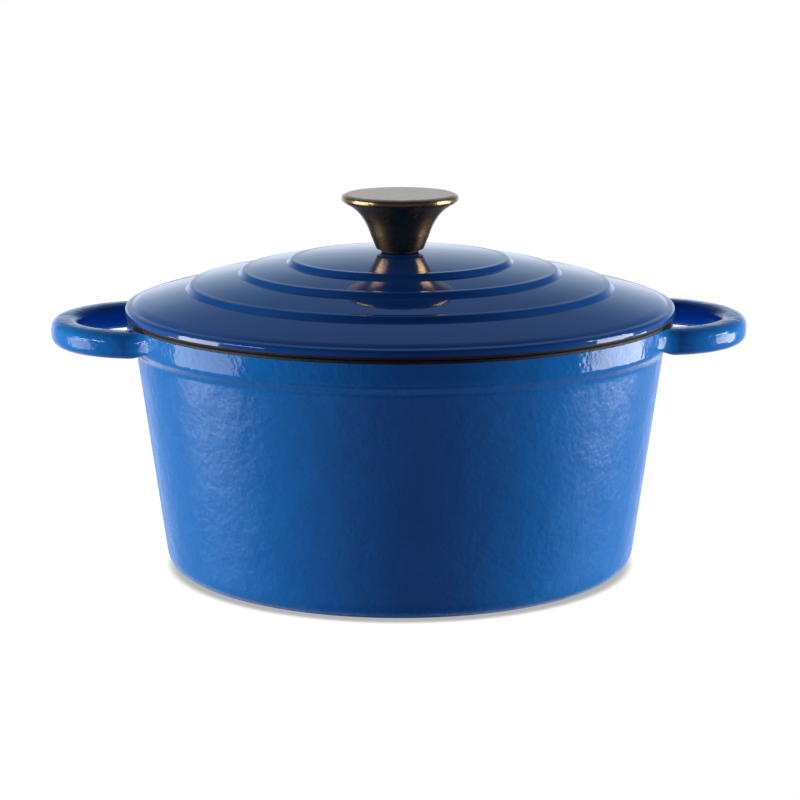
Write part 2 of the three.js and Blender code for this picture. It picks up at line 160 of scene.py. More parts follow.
def rounded(corners, steps=8):
    """A profile of straight edges with rounded corners. A corner (x, y, radius) becomes the arc that touches
    both of its edges: the arc's centre is on the corner's bisector, radius / sin(half angle) from it."""
    corners = [(*corner, 0)[:3] for corner in corners]
    points = []
    for i, (x, y, radius) in enumerate(corners):
        here = np.array([x, y])
        if not radius or i in (0, len(corners) - 1):
            points.append(here[None])
            continue
        back = np.array(corners[i - 1][:2]) - here
        ahead = np.array(corners[i + 1][:2]) - here
        back /= np.linalg.norm(back)
        ahead /= np.linalg.norm(ahead)
        half = math.acos(np.clip(back @ ahead, -1, 1)) / 2
        middle = here + (back + ahead) / np.linalg.norm(back + ahead) * radius / math.sin(half)
        start = here + back * radius / math.tan(half) - middle
        side = np.sign(ahead[0] * back[1] - ahead[1] * back[0])
        turn = side * (math.pi - 2 * half) * np.linspace(0, 1, steps + 1)
        cos, sin = np.cos(turn), np.sin(turn)
        arc = [start[0] * cos - start[1] * sin, start[0] * sin + start[1] * cos]
        points.append(middle + np.stack(arc, 1))
    return np.vstack(points)


def filled_in(profile, longest=LONGEST):
    """The same profile with each straight piece split evenly, so that none is longer than longest."""
    change = np.diff(profile, axis=0)
    pieces = np.maximum(1, np.ceil(np.linalg.norm(change, axis=1) / longest)).astype(int)
    count = np.arange(pieces.sum()) - np.repeat(np.cumsum(pieces) - pieces, pieces)
    start = np.repeat(profile[:-1], pieces, axis=0)
    step = np.repeat(change / pieces[:, None], pieces, axis=0)
    return np.vstack([start + step * count[:, None], profile[-1:]])


def bezier(a, b, c, d, count):
    """A cubic curve from a to d, drawn towards b and c:
    a (1 - t)^3 + 3 b t (1 - t)^2 + 3 c t^2 (1 - t) + d t^3."""
    t = np.linspace(0, 1, count)[:, None]
    a, b, c, d = (np.array(p, float) for p in (a, b, c, d))
    return a * (1 - t) ** 3 + b * 3 * t * (1 - t) ** 2 + c * 3 * t**2 * (1 - t) + d * t**3


def quadratic(a, b, c, count):
    """A curve from a to c that leaves and arrives along the lines to b: a cubic with both handles at b."""
    a, b, c = (np.array(p, float) for p in (a, b, c))
    return bezier(a, a + (b - a) * 2 / 3, c + (b - c) * 2 / 3, c, count)


def even_steps(path, count):
    """Points at equal distances along a path."""
    length = np.concatenate([[0], np.cumsum(np.linalg.norm(np.diff(path, axis=0), axis=1))])
    at = np.linspace(0, length[-1], count)
    return np.stack([np.interp(at, length, path[:, k]) for k in range(path.shape[1])], 1)


def grid_faces(rows, columns, wrap_rows=False, wrap_columns=False):
    """Four-sided faces between neighbouring points of a grid that is stored row by row."""
    last_row = rows if wrap_rows else rows - 1
    last_column = columns if wrap_columns else columns - 1
    i, j = np.meshgrid(np.arange(last_row), np.arange(last_column), indexing="ij")
    i, j = i.ravel(), j.ravel()
    next_i, next_j = (i + 1) % rows, (j + 1) % columns
    corners = (i * columns + j, next_i * columns + j, next_i * columns + next_j, i * columns + next_j)
    return np.stack(corners, 1)


def make_piece(name, vertices, faces, sharp_angle=40):
    """A mesh object at the origin. Faces are turned outwards: the mesh's signed volume, the sum over its
    triangles of a . (b x c) / 6, is made positive."""
    vertices = np.asarray(vertices, float)
    triangles = np.vstack(
        [group[:, [0, k, k + 1]] for group in faces for k in range(1, group.shape[1] - 1)]
    )
    a, b, c = (vertices[triangles[:, k]] for k in range(3))
    if np.einsum("ij,ij->", a, np.cross(b, c)) < 0:
        faces = [group[:, ::-1] for group in faces]
    mesh = bpy.data.meshes.new(name)
    mesh.from_pydata(vertices.tolist(), [], [face for group in faces for face in group.tolist()])
    mesh.update()
    mesh.shade_smooth()
    mesh.set_sharp_from_angle(angle=math.radians(sharp_angle))
    piece = bpy.data.objects.new(name, mesh)
    bpy.context.scene.collection.objects.link(piece)
    return piece


def round_piece(name, points, segments, poles=None, sharp_angle=40):
    """A closed piece from equal rows of points, one row to each segment of the turn. With poles, a fan of
    triangles joins each end of the rows to its pole; without, every row closes on itself."""
    columns = len(points) // segments
    faces = [grid_faces(segments, columns, wrap_rows=True, wrap_columns=poles is None)]
    if poles is not None:
        first, last = len(points), len(points) + 1
        points = np.vstack([points, *poles])
        here = np.arange(segments) * columns
        there = np.roll(here, -1)
        faces.append(np.stack([np.full(segments, first), there, here], 1))
        faces.append(np.stack([np.full(segments, last), here + columns - 1, there + columns - 1], 1))
    return make_piece(name, points, faces, sharp_angle)


def tube(name, points, rows, around):
    """A closed piece from rows of points round a path. A fan of triangles closes each end, its hub in the
    middle of the end row."""
    faces = [grid_faces(rows, around, wrap_columns=True)]
    hubs = []
    for row in (0, rows - 1):
        here = row * around + np.arange(around)
        there = np.roll(here, -1)
        hub = np.full(around, len(points) + len(hubs))
        hubs.append(points[here].mean(0))
        faces.append(np.stack([hub, here, there] if row == 0 else [hub, there, here], 1))
    return make_piece(name, np.vstack([points, hubs]), faces)


def turned(name, profile, segments=ROUND, sharp_angle=40):
    """A surface of revolution: point (i, k) is the profile's (radius, height) k, turned by 2 pi i / segments
    about Z. An end on the axis is one vertex; a profile off the axis closes on itself."""
    angle = np.linspace(0, 2 * math.pi, segments, endpoint=False)
    on_axis = profile[0, 0] < 1e-9
    ring = profile[1:-1] if on_axis else profile
    radius, height = ring.T
    points = np.stack(
        [
            np.outer(np.cos(angle), radius),
            np.outer(np.sin(angle), radius),
            np.tile(height, (segments, 1)),
        ],
        2,
    ).reshape(-1, 3)
    poles = [[0, 0, profile[0, 1]], [0, 0, profile[-1, 1]]] if on_axis else None
    return round_piece(name, points, segments, poles, sharp_angle)


def paint(piece, materials, zone=None):
    """Gives a piece its materials. zone takes the faces' radii and heights and says which one each gets."""
    for material in materials:
        piece.data.materials.append(material)
    if zone:
        centres = np.empty(len(piece.data.polygons) * 3)
        piece.data.polygons.foreach_get("center", centres)
        centres = centres.reshape(-1, 3)
        index = zone(np.hypot(centres[:, 0], centres[:, 1]), centres[:, 2])
        piece.data.polygons.foreach_set("material_index", index.astype(np.int32))
        piece.data.update()


def united(piece, others):
    """Joins overlapping closed meshes into one closed mesh, and removes the others."""
    for other in others:
        join = piece.modifiers.new("join", "BOOLEAN")
        join.operation = "UNION"
        join.solver = "EXACT"
        join.object = other
    graph = bpy.context.evaluated_depsgraph_get()
    graph.update()
    mesh = bpy.data.meshes.new_from_object(piece.evaluated_get(graph))
    piece.modifiers.clear()
    piece.data = mesh
    mesh.name = piece.name
    mesh.shade_smooth()
    mesh.set_sharp_from_angle(angle=math.radians(40))
    for other in others:
        bpy.data.objects.remove(other)
    return piece


# ---------------------------------------------------------------- pot


def inner_wall(z):
    """Radius of the pot's inside at a height: a straight wall that narrows towards the base."""
    return MOUTH_RADIUS - (POT_HEIGHT - z) * math.tan(WALL_DRAFT)


def outer_wall(z):
    """Radius of the pot's outside at a height, below the collar."""
    return inner_wall(z) + WALL_THICKNESS


def pot_shell():
    """The pot without its handles, from the middle of its underside, up its outside, over the rim and down
    its inside to the middle of the floor. Each corner is a radius, a height and how far it is rounded."""
    foot = outer_wall(0)
    recess = foot - FOOT_RECESS_INSET
    step_top = HANDLE_BOTTOM + COLLAR_STEP_RISE
    step_bottom = step_top - COLLAR_STEP_HEIGHT
    band = POT_HEIGHT - RIM_BAND
    inside_band = POT_HEIGHT - RIM_BAND_INSIDE
    bare = COLLAR_RADIUS - RIM_INSET
    return turned(
        "pot_enamel",
        filled_in(
            rounded(
                [
                    (0, FOOT_RECESS),
                    (recess, FOOT_RECESS, 1 * MM),
                    (recess + FOOT_RECESS_SLOPE, 0, 0.6 * MM),
                    (foot, 0, FOOT_CORNER_RADIUS),
                    (outer_wall(step_bottom), step_bottom, 4.5 * MM),
                    (COLLAR_RADIUS, step_top, 4.2 * MM),
                    (COLLAR_RADIUS, band, 0.15 * MM),
                    (bare, band + 0.1 * MM, 0.05 * MM),
                    (bare, POT_HEIGHT, RIM_EDGE_RADIUS),
                    (MOUTH_RADIUS + 0.1 * MM, POT_HEIGHT, RIM_EDGE_RADIUS),
                    (inner_wall(inside_band) + 0.1 * MM, inside_band),
                    (inner_wall(inside_band - 0.2 * MM), inside_band - 0.2 * MM),
                    (inner_wall(BASE_THICKNESS), BASE_THICKNESS, FLOOR_CORNER_RADIUS),
                    (0, BASE_THICKNESS),
                ],
                steps=10,
            )
        ),
    )


def handle_loop(name, side):
    """A loop handle. Seen from above, the bar lies between two half ellipses whose ends bend away along the
    collar, so that it flares into it. Its section at each place is a rounded rectangle,
    |u / half width|^n + |v / half thickness|^n = 1. Near the collar both faces rise towards it by a share
    (1 - distance / reach)^2 of the fillet's rise."""
    centre = COLLAR_RADIUS - HANDLE_CENTRE_INSET
    length = HANDLE_REACH + HANDLE_CENTRE_INSET
    span = HANDLE_HALF_SPAN
    hole_length = length - HANDLE_TIP_WIDTH
    hole_span = span - HANDLE_ROOT_WIDTH
    buried = COLLAR_RADIUS - HANDLE_BURIED

    def on_collar(angle):
        return COLLAR_RADIUS * np.array([math.cos(angle), math.sin(angle)])

    def toward_middle(point):
        return point * buried / np.linalg.norm(point)

    outer_angle = math.asin(span / COLLAR_RADIUS)
    outer_end = on_collar(outer_angle + HANDLE_ROOT_LENGTH / COLLAR_RADIUS)
    turn = np.linspace(0, HANDLE_ROOT_START, CURVE_POINTS)
    outside = np.stack([centre + length * np.cos(turn), span * np.sin(turn)], 1)
    outside = np.vstack(
        [
            outside,
            quadratic(outside[-1], on_collar(outer_angle), outer_end, ROOT_POINTS)[1:],
            toward_middle(outer_end)[None],
        ]
    )

    hole_angle = math.asin(hole_span / COLLAR_RADIUS)
    hole_corner = on_collar(hole_angle)
    hole_end = on_collar(hole_angle - HOLE_CORNER_RADIUS / COLLAR_RADIUS)
    hole_stop = math.acos((hole_corner[0] + HOLE_CORNER_RADIUS - centre) / hole_length)
    turn = np.linspace(0, hole_stop, CURVE_POINTS)
    inside = np.stack([centre + hole_length * np.cos(turn), hole_span * np.sin(turn)], 1)
    inside = np.vstack(
        [
            inside,
            quadratic(inside[-1], hole_corner, hole_end, ROOT_POINTS)[1:],
            toward_middle(hole_end)[None],
        ]
    )

    halves = (even_steps(path, LOOP_SECTIONS) for path in (outside, inside))
    outside, inside = (np.vstack([path[:0:-1] * [1, -1], path]) for path in halves)
    middle, half = (outside + inside) / 2, (outside - inside) / 2
    turn = np.linspace(0, 2 * math.pi, SECTION_POINTS, endpoint=False)
    across = np.sign(np.cos(turn)) * np.abs(np.cos(turn)) ** (2 / SECTION_POWER)
    up = np.sign(np.sin(turn)) * np.abs(np.sin(turn)) ** (2 / SECTION_POWER)
    plan = middle[:, None] + half[:, None] * across[None, :, None]
    level = (HANDLE_TOP + HANDLE_BOTTOM) / 2
    height = np.tile(level + HANDLE_THICKNESS / 2 * up, (len(plan), 1))
    distance = np.maximum(0, np.hypot(plan[..., 0], plan[..., 1]) - COLLAR_RADIUS)
    rise = TOP_FILLET_RISE * np.maximum(0, 1 - distance / TOP_FILLET_REACH) ** 2
    lift = UNDER_FILLET_RISE * np.maximum(0, 1 - distance / UNDER_FILLET_REACH) ** 2
    height += np.where(up > 0, rise * up, -lift * up)
    points = side * np.dstack([plan, side * height]).reshape(-1, 3)
    return tube(name, points, len(plan), SECTION_POINTS)


# ---------------------------------------------------------------- lid


def dome(radius):
    """Height of the lid's outside before its steps are rounded: a sphere, lowered by every step that lies
    inside the radius."""
    steps = sum(np.clip((radius - edge) / STEP_WIDTH, 0, 1) for edge in STEP_RADII)
    return LID_HIGH.z - (DOME_RADIUS - np.sqrt(DOME_RADIUS**2 - radius**2)) - steps * STEP_HEIGHT


def terraces(first, last, drop, lip, foot_round):
    """Corners of the stepped dome from one radius to another, lowered by drop. Before each step the surface
    swells by the lip's height over LIP_WIDTH, the step's foot is rounded, and each terrace gets points of the
    sphere about TERRACE_SPACING apart."""
    stops = [first] + [edge for step in STEP_RADII for edge in (step, step + STEP_WIDTH)] + [last]
    corners = [(first, dome(first) - drop)]
    for k in range(0, len(stops) - 1, 2):
        start, end = stops[k], stops[k + 1]
        if k:
            corners.append((start, dome(start) - drop, foot_round))
        swell = end - LIP_WIDTH if end != last else end
        count = max(3, int((swell - start) / TERRACE_SPACING))
        between = np.linspace(start, swell, count)[1:-1]
        after_foot = [start + FOOT_REACH] if k else []
        corners += [(r, dome(r) - drop) for r in (*after_foot, *between)]
        if end != last:
            corners.append((swell, dome(swell) - drop, 3 * MM if lip else 0))
            corners.append((end, dome(end) - drop + lip, LIP_ROUND if lip else 0.7 * MM))
    return corners + [(last, dome(last) - drop)]


def lid_shell():
    """The lid, round a closed profile: pad over the knob screw's washers, stepped underside, locating ring,
    seat, edge, and back over the stepped top."""
    ring_bottom = LID_LOW.z
    ring_outside = inner_wall(ring_bottom) - LOCATING_RING_CLEARANCE
    ring_inside = ring_outside - LOCATING_RING_WIDTH
    pad = FLAT_HIGH.z + FIT_GAP
    under = terraces(SCREW_PAD_RADIUS, ring_inside, LID_THICKNESS, 0, 1 * MM)
    over = terraces(SCREW_HOLE_RADIUS, LID_RADIUS - BRIM_WIDTH, 0, LIP_HEIGHT, 0.9 * MM)[::-1]
    brim = dome(LID_RADIUS - BRIM_WIDTH) - BRIM_DROP
    edge = [
        (ring_outside, LID_SEAT, 0.8 * MM),
        (LID_RADIUS - 0.5 * MM, LID_SEAT, 0.15 * MM),
        (LID_RADIUS - 0.35 * MM, LID_SEAT + 0.5 * MM, 0.1 * MM),
        (LID_RADIUS, LID_SEAT + 0.8 * MM, 0.3 * MM),
        # Where the painted shade band up the lid's edge ends.
        (LID_RADIUS - 0.05 * MM, LID_SEAT + LID_BARE_AND_SHADE),
        (LID_RADIUS - 0.35 * MM, LID_EDGE_TOP, 1.7 * MM),
        (LID_RADIUS - 3.6 * MM, brim, 3 * MM),
    ]
    ring = [
        (ring_inside, ring_bottom, 1.2 * MM),
        (ring_outside, ring_bottom, 1.2 * MM),
    ]
    corners = [
        (SCREW_HOLE_RADIUS, pad),
        (SCREW_PAD_FLAT, pad, 0.5 * MM),
        *under[:-1],
        (ring_inside, dome(ring_inside) - LID_THICKNESS, 2 * MM),
        *ring,
        *edge,
        *over,
    ]
    return turned("lid_enamel", filled_in(rounded(corners, steps=6), TERRACE_SPACING))


# ---------------------------------------------------------------- knob and its fastening


def knob_shell():
    """The knob: a small rounded foot, a waist, a flare that sweeps out to a rolled rim and a flat top, round
    a blind bore for the screw. Places on it are in mm, by radius and by height above its foot."""
    low, high, widest = KNOB_LOW.z, KNOB_HIGH.z, KNOB_HIGH.x

    def at(radius, height):
        return radius * MM, low + height * MM

    waist, rim_start = at(13.7, 7), at(25.4, 21.5)
    foot_corner = (KNOB_FOOT_RADIUS, low, KNOB_FOOT_ROUND)
    foot = rounded([(KNOB_BORE_RADIUS, low), foot_corner, waist], 6)[:-1]
    flare = bezier(waist, at(16.1, 13.8), at(19.2, 18.5), rim_start, 40)
    rim = rounded(
        [
            rim_start,
            (widest, high - 2.9 * MM, 1.6 * MM),
            (widest - 0.2 * MM, high - 0.9 * MM, 1.1 * MM),
            (widest - 2.3 * MM, high, 1.4 * MM),
            (widest - KNOB_TOP_INSET, high),
        ],
        8,
    )[1:]
    bore_end = SCREW_HIGH.z + BORE_END_SPACE
    bore = [(0, bore_end), (KNOB_BORE_RADIUS, bore_end), (KNOB_BORE_RADIUS, low)]
    bore = filled_in(np.array(bore), 2 * MM)
    outside = filled_in(np.vstack([foot, flare, rim]), 1.2 * MM)
    top = filled_in(np.array([[widest - KNOB_TOP_INSET, high], [0, high]]), 2 * MM)[1:]
    return turned("knob_brass", np.vstack([bore, outside[1:], top]), SMALL_ROUND)


def washer(name, low, high, bevel):
    """A flat ring with softened edges, round the screw."""
    inner, outer = SCREW_HOLE_RADIUS, high.x
    corners = [
        (inner, (low.z + high.z) / 2),
        (inner, low.z, bevel),
        (outer, low.z, bevel),
        (outer, high.z, bevel),
        (inner, high.z, bevel),
        (inner, (low.z + high.z) / 2),
    ]
    return turned(name, rounded(corners, 4)[:-1], SMALL_ROUND)


def screw_shell():
    """The knob screw: a pan head under the lid, with a cross recess, and a threaded shank. The head is a grid
    in polar coordinates whose height is the pan's curve plus the depth of the recess. The shank's radius
    follows a sine of height and angle, one turn to each pitch."""
    head_low, tip = SCREW_LOW.z, SCREW_HIGH.z
    head_radius, radius = SCREW_HIGH.x, SCREW_RADIUS
    head_top = SPRING_LOW.z - FIT_GAP
    head_corner = (head_radius, head_low, SCREW_HEAD_ROUND)
    head = rounded([(0, head_low), head_corner, (head_radius, head_top)], 10)
    head = filled_in(head, 0.15 * MM)
    under = filled_in(np.array([[head_radius, head_top], [radius, head_top]]), 0.7 * MM)[1:]
    shank = [[radius, head_top], [radius, tip - SCREW_TIP_CHAMFER], [SCREW_TIP_RADIUS, tip], [0, tip]]
    shank = filled_in(np.array(shank), 0.16 * MM)[1:]
    profile = np.vstack([head, under, shank])
    angle = np.linspace(0, 2 * math.pi, SCREW_ROUND, endpoint=False)
    r, z = profile[1:-1].T
    grid_r, grid_z = np.tile(r, (SCREW_ROUND, 1)), np.tile(z, (SCREW_ROUND, 1))
    on_shank = np.arange(len(r)) >= len(head) + len(under) - 1
    threaded = on_shank & (r > 2.9 * MM)
    groove = THREAD_SWING * (np.sin(2 * math.pi * grid_z / THREAD_PITCH - angle[:, None]) - 1)
    grid_r = grid_r + np.where(threaded, groove, 0)
    x, y = grid_r * np.cos(angle)[:, None], grid_r * np.sin(angle)[:, None]

    def soft(value, edge):
        return 1 / (1 + np.exp((np.abs(value) - edge) / RECESS_SOFTNESS))

    slot = np.maximum(
        soft(x, RECESS_HALF_SPAN) * soft(y, RECESS_HALF_WIDTH),
        soft(y, RECESS_HALF_SPAN) * soft(x, RECESS_HALF_WIDTH),
    )
    on_head = np.arange(len(r)) < len(head) - 1
    grid_z = grid_z + np.where(on_head & (r < RECESS_ZONE), RECESS_DEPTH * slot, 0)
    points = np.dstack([x, y, grid_z]).reshape(-1, 3)
    poles = [[0, 0, head_low + RECESS_DEPTH], [0, 0, tip]]
    return round_piece("knob_screw_steel", points, SCREW_ROUND, poles)


def spring_washer_shell():
    """A split ring: a rounded square section carried round the screw, rising by a small part of its thickness
    from one end of the split to the other."""
    inner, outer = SCREW_HOLE_RADIUS, SPRING_HIGH.x
    low, high = SPRING_LOW.z, SPRING_HIGH.z
    section = rounded(
        [
            (inner, (low + high) / 2),
            (inner, low, 0.2 * MM),
            (outer, low, 0.2 * MM),
            (outer, high - SPRING_RISE, 0.2 * MM),
            (inner, high - SPRING_RISE, 0.2 * MM),
            (inner, (low + high) / 2),
        ],
        3,
    )[:-1]
    turns, around = 120, len(section)
    angle = np.linspace(SPRING_SPLIT, 2 * math.pi - SPRING_SPLIT, turns)
    radius, height = section.T
    points = np.stack(
        [
            np.outer(np.cos(angle), radius),
            np.outer(np.sin(angle), radius),
            height[None] + SPRING_RISE * np.linspace(0, 1, turns)[:, None],
        ],
        2,
    ).reshape(-1, 3)
    return tube("spring_washer_steel", points, turns, around)


# ---------------------------------------------------------------- materials


class Nodes:
    """A node tree, with short ways to fill it."""

    def __init__(self, tree):
        self.tree = tree

    def add(self, kind, **settings):
        node = self.tree.nodes.new(kind)
        for key, value in settings.items():
            setattr(node, key, value)
        return node

    def link(self, source, target):
        self.tree.links.new(source, target)

    def put(self, socket, value):
        """Sets a socket to a number or colour, or links it to another node's output."""
        if isinstance(value, bpy.types.NodeSocket):
            self.link(value, socket)
        else:
            socket.default_value = value

    def ramp(self, value, stops):
        """Maps a value to a colour or a grey through a list of (place, colour)."""
        node = self.add("ShaderNodeValToRGB")
        elements = node.color_ramp.elements
        while len(elements) < len(stops):
            elements.new(0.5)
        for element, (where, colour) in zip(elements, stops):
            element.position = where
            red, green, blue = colour if isinstance(colour, tuple) else (colour,) * 3
            element.color = (red, green, blue, 1)
        self.link(value, node.inputs["Fac"])
        return node.outputs["Color"]

    def math(self, operation, a, b=0.0, c=0.0):
        node = self.add("ShaderNodeMath", operation=operation)
        for socket, value in zip(node.inputs, (a, b, c)):
            self.put(socket, value)
        return node.outputs[0]

    def distance(self, x, y):
        """How far a place is from the Z axis: the square root of x x + y y."""
        squares = self.math("ADD", self.math("MULTIPLY", x, x), self.math("MULTIPLY", y, y))
        return self.math("SQRT", squares)

    def blend(self, operation, a, b):
        """Two colours multiplied or added."""
        node = self.add("ShaderNodeMixRGB", blend_type=operation)
        node.inputs[0].default_value = 1
        self.link(a, node.inputs[1])
        self.link(b, node.inputs[2])
        return node.outputs[0]


class Finish(Nodes):
    """One material's nodes. Every pattern reads the piece's Object coordinates, in metres."""

    def __init__(self, name):
        self.material = bpy.data.materials.new(name)
        self.material.use_nodes = True
        super().__init__(self.material.node_tree)
        self.shader = self.tree.nodes["Principled BSDF"]
        self.place = self.add("ShaderNodeTexCoord").outputs["Object"]

    def surface(self, **inputs):
        for key, value in inputs.items():
            self.put(self.shader.inputs[key.replace("_", " ")], value)

    def noise(self, scale, detail=3, roughness=0.5, stretch=None, seed=0):
        """A noise of the place. stretch scales each axis, and seed moves the pattern."""
        node = self.add("ShaderNodeTexNoise")
        place = self.place
        if stretch or seed:
            mapping = self.add("ShaderNodeMapping")
            mapping.inputs["Scale"].default_value = stretch or (1, 1, 1)
            mapping.inputs["Location"].default_value = (seed, seed * 2, seed * 3)
            self.link(place, mapping.inputs["Vector"])
            place = mapping.outputs[0]
        self.link(place, node.inputs["Vector"])
        node.inputs["Scale"].default_value = scale
        node.inputs["Detail"].default_value = detail
        node.inputs["Roughness"].default_value = roughness
        return node.outputs["Fac"]

    def lines(self, along, scale):
        """Fine parallel lines: a noise of one coordinate."""
        node = self.add("ShaderNodeTexNoise", noise_dimensions="1D")
        self.link(along, node.inputs["W"])
        node.inputs["Scale"].default_value = scale
        node.inputs["Detail"].default_value = 3
        return node.outputs["Fac"]

    def mix(self, factor, a, b):
        node = self.add("ShaderNodeMix", data_type="RGBA")
        self.put(node.inputs[0], factor)
        for socket, value in ((node.inputs[6], a), (node.inputs[7], b)):
            self.put(socket, (*value, 1) if isinstance(value, tuple) else value)
        return node.outputs[2]

    def scaled(self, value, low, high):
        """A value from 0 to 1, carried over to the range from low to high."""
        node = self.add("ShaderNodeMapRange")
        self.link(value, node.inputs["Value"])
        node.inputs["To Min"].default_value = low
        node.inputs["To Max"].default_value = high
        return node.outputs["Result"]

    def bump(self, height, distance, strength=1.0, before=None):
        node = self.add("ShaderNodeBump")
        self.link(height, node.inputs["Height"])
        node.inputs["Distance"].default_value = distance
        node.inputs["Strength"].default_value = strength
        if before:
            self.link(before, node.inputs["Normal"])
        return node.outputs["Normal"]

    def split_place(self):
        node = self.add("ShaderNodeSeparateXYZ")
        self.link(self.place, node.inputs[0])
        return node.outputs


def blue_enamel(
    name, deep, pale, roughness, peel, wave, speckle, shine, gloss_from=None, glossy=0.05
):
    """Glass enamel over iron: two blues in soft clouds, pale specks where the coat is thin, and an
    orange-peel surface of peel mm about 2 mm across, on slow waves of wave mm. From the height gloss_from
    upwards its roughness is glossy instead of roughness."""
    thin_coat = (0.25, 0.42, 0.72)
    gloss_fade = 6 * MM
    least, most = 0.6, 1.5  # shares of the roughness that it varies between
    finish = Finish(name)
    clouds = finish.noise(28, detail=4, roughness=0.55)
    specks = finish.noise(900, detail=2, roughness=0.6, seed=3)
    colour = finish.mix(finish.scaled(clouds, 0.1, 0.9), deep, pale)
    dots = finish.ramp(specks, [(0.62, 0.0), (0.78, 1.0)])
    colour = finish.mix(finish.math("MULTIPLY", dots, speckle), colour, thin_coat)
    fine = finish.noise(430, detail=2, roughness=0.5, seed=1)
    slow = finish.noise(75, detail=3, roughness=0.5, seed=2)
    normal = finish.bump(slow, wave * MM)
    normal = finish.bump(fine, peel * MM, before=normal)
    rough = finish.scaled(finish.noise(160, detail=3, seed=5), roughness * least, roughness * most)
    if gloss_from:
        height = finish.add("ShaderNodeMapRange")
        finish.link(finish.split_place()[2], height.inputs["Value"])
        height.inputs["From Min"].default_value = gloss_from - gloss_fade
        height.inputs["From Max"].default_value = gloss_from
        smooth = finish.scaled(finish.noise(160, detail=3, seed=6), glossy * least, glossy * most)
        rough = finish.mix(height.outputs["Result"], rough, smooth)
    finish.surface(
        Base_Color=colour, Roughness=rough, Normal=normal, IOR=1.5, Specular_IOR_Level=shine
    )
    return finish.material


def bare_rim():
    """Black iron without gloss: sandy grain, with rust-brown showing in the hollows."""
    finish = Finish("bare_black_iron")
    grain = finish.noise(900, detail=4, roughness=0.65)
    black, brown = (0.006, 0.006, 0.007), (0.03, 0.018, 0.012)
    rust = finish.ramp(finish.noise(70, detail=5, roughness=0.65, seed=4), [(0.5, black), (0.8, brown)])
    finish.surface(
        Base_Color=rust,
        Roughness=finish.scaled(grain, 0.45, 0.75),
        Normal=finish.bump(grain, 0.12 * MM),
    )
    return finish.material


def pale_enamel():
    """Sand-coloured enamel of the inside: slightly clouded, with small darker specks and a soft gloss."""
    finish = Finish("pale_inside_enamel")
    clouds = finish.noise(22, detail=4, roughness=0.5)
    colour = finish.mix(clouds, (0.70, 0.63, 0.51), (0.81, 0.76, 0.65))
    dots = finish.ramp(finish.noise(700, detail=2, roughness=0.6, seed=7), [(0.66, 0.0), (0.76, 1.0)])
    colour = finish.mix(finish.math("MULTIPLY", dots, 0.35), colour, (0.3, 0.25, 0.18))
    finish.surface(
        Base_Color=colour,
        Roughness=finish.scaled(finish.noise(120, detail=3, seed=8), 0.12, 0.3),
        Normal=finish.bump(finish.noise(380, detail=2, seed=9), 0.05 * MM),
    )
    return finish.material


def aged_brass():
    """Darkened brass with a satin gloss: slow clouds of brown patina, and fine level lines left by turning, a
    noise of height alone. The anisotropy draws each reflection up and down, across those lines."""
    finish = Finish("aged_brass")
    patina = finish.noise(45, detail=3, roughness=0.5)
    share = finish.ramp(patina, [(0.3, 0.0), (0.75, 1.0)])
    colour = finish.mix(share, (0.40, 0.25, 0.105), (0.59, 0.38, 0.18))
    _, _, height = finish.split_place()
    lines = finish.lines(height, 1800)
    finish.surface(
        Base_Color=colour,
        Metallic=1.0,
        Roughness=finish.scaled(finish.noise(200, detail=3, seed=6), 0.22, 0.34),
        Anisotropic=0.7,
        Anisotropic_Rotation=0.25,
        Normal=finish.bump(lines, 0.015 * MM),
    )
    return finish.material


def brushed_top():
    """The knob's top: pale satin metal with rings left by turning, a noise of the distance from its
    middle."""
    finish = Finish("turned_top")
    x, y, _ = finish.split_place()
    rings = finish.lines(finish.distance(x, y), 2600)
    blotches = finish.ramp(finish.noise(210, detail=5, roughness=0.65, seed=5), [(0.36, 0.0), (0.64, 1.0)])
    colour = finish.mix(blotches, (0.98, 0.54, 0.23), (1.0, 0.72, 0.36))
    finish.surface(
        Base_Color=colour,
        Metallic=1.0,
        Roughness=finish.scaled(rings, 0.25, 0.4),
        Normal=finish.bump(rings, 0.01 * MM),
    )
    return finish.material


def black_rubber():
    """Matte black rubber with a fine grain."""
    finish = Finish("black_rubber")
    grain = finish.noise(1500, detail=3, roughness=0.6)
    finish.surface(
        Base_Color=finish.mix(grain, (0.012, 0.012, 0.012), (0.03, 0.03, 0.03)),
        Roughness=finish.scaled(grain, 0.55, 0.8),
        Normal=finish.bump(grain, 0.03 * MM),
    )
    return finish.material


def stainless(name, seed):
    """Bright stainless steel with faint scratches and a slightly clouded gloss."""
    finish = Finish(name)
    scratches = finish.noise(700, detail=4, roughness=0.7, stretch=(1, 6, 1), seed=seed)
    finish.surface(
        Base_Color=finish.mix(scratches, (0.52, 0.52, 0.53), (0.68, 0.68, 0.69)),
        Metallic=1.0,
        Roughness=finish.scaled(finish.noise(300, detail=3, seed=seed + 1), 0.2, 0.38),
        Normal=finish.bump(scratches, 0.01 * MM),
    )
    return finish.material


# ---------------------------------------------------------------- the object

POT_BLUE = blue_enamel(
    "blue_pot_enamel",
    deep=(0.006, 0.14, 0.48),
    pale=(0.011, 0.21, 0.63),
    roughness=0.26,
    peel=0.16,
    wave=0.5,
    speckle=0.12,
    shine=0.28,
    gloss_from=HANDLE_BOTTOM,
    glossy=0.09,
)
# The lid has the pot's enamel, painted darker here: painted shade, as its top gets less light than the pot's
# side.
LID_BLUE_PAINTED_DARKER = blue_enamel(
    "blue_lid_enamel_painted_shade",
    deep=(0.006, 0.064, 0.27),
    pale=(0.009, 0.09, 0.36),
    roughness=0.04,
    peel=0.012,
    wave=0.05,
    speckle=0.03,
    shine=0.4,
)
BARE = bare_rim()
PALE = pale_enamel()


